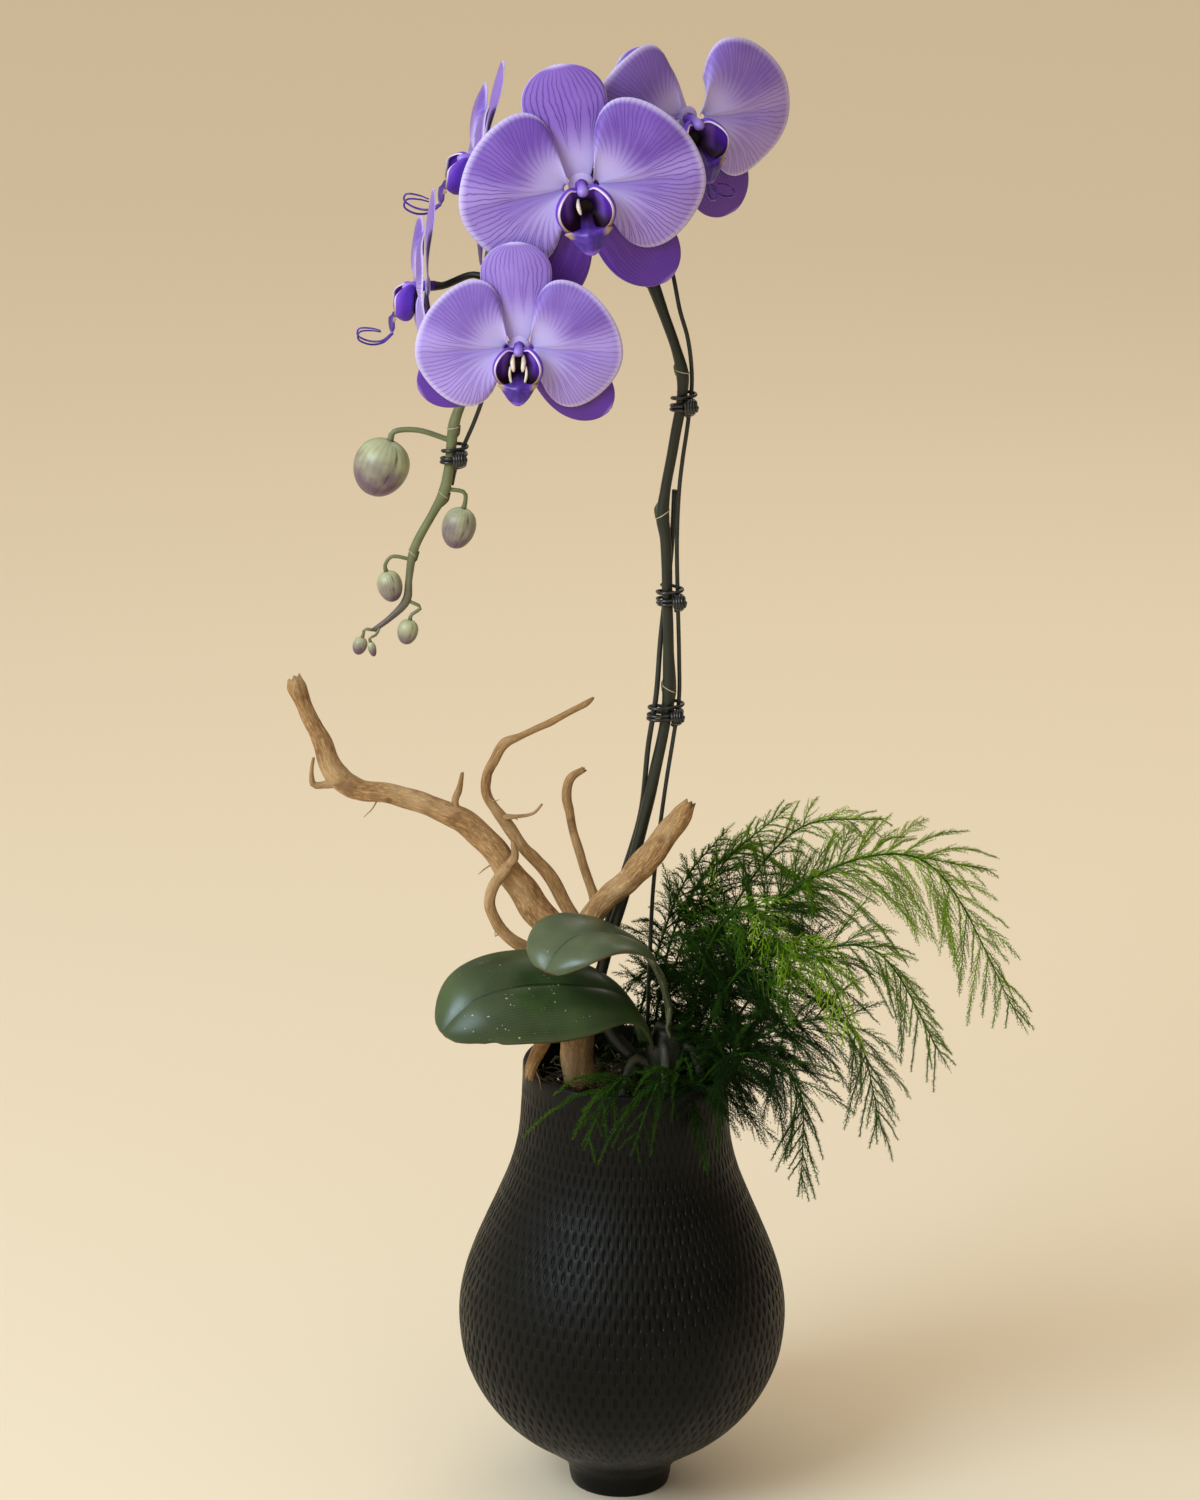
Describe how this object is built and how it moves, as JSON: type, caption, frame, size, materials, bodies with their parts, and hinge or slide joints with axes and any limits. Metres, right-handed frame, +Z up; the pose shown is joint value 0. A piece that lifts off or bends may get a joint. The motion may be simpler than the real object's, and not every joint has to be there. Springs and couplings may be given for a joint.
{
  "type": "ikebana arrangement",
  "caption": "Arching orchid spike on slim stakes with leaves, buds, forked driftwood and drooping asparagus fern in a dark carved pear-shaped vase.",
  "frame": {"origin": "middle of the vase's foot, on the surface it stands on", "axes": "+Z up through the vase's mouth, the arrangement's front faces -Y, the fern hangs toward +X"},
  "size_m": [0.3174, 0.182, 0.6534],
  "materials": {
    "vase": "matte",
    "growing_medium": "matte",
    "orchid_stem": "satin",
    "leaves": "gloss",
    "petals": "satin",
    "lips": "gloss",
    "buds": "satin",
    "stakes": "satin",
    "tie_wire": "gloss",
    "driftwood": "matte",
    "fern": "satin"
  },
  "bodies": {
    "root": {"vase": "vase", "growing_medium": "growing_medium", "orchid_stem": "orchid_stem", "leaf_lower": "leaves", "leaf_upper": "leaves", "flower_1_petals": "petals", "flower_1_lip": "lips", "flower_2_petals": "petals", "flower_2_lip": "lips", "flower_3_petals": "petals", "flower_3_lip": "lips", "flower_4_petals": "petals", "flower_4_lip": "lips", "flower_5_petals": "petals", "flower_5_lip": "lips", "bud_1": "buds", "bud_2": "buds", "bud_3": "buds", "bud_4": "buds", "bud_5": "buds", "bud_6": "buds", "stake_straight": "stakes", "stake_arch": "stakes", "tie_1": "tie_wire", "tie_2": "tie_wire", "tie_3": "tie_wire", "tie_4": "tie_wire", "driftwood": "driftwood", "fern_frond_1": "fern", "fern_frond_2": "fern", "fern_frond_3": "fern", "fern_frond_4": "fern", "fern_frond_5": "fern", "fern_frond_6": "fern", "fern_frond_7": "fern", "fern_frond_8": "fern", "fern_frond_9": "fern", "fern_frond_10": "fern", "fern_frond_11": "fern", "fern_frond_12": "fern", "fern_frond_13": "fern"}
  },
  "joints": []
}
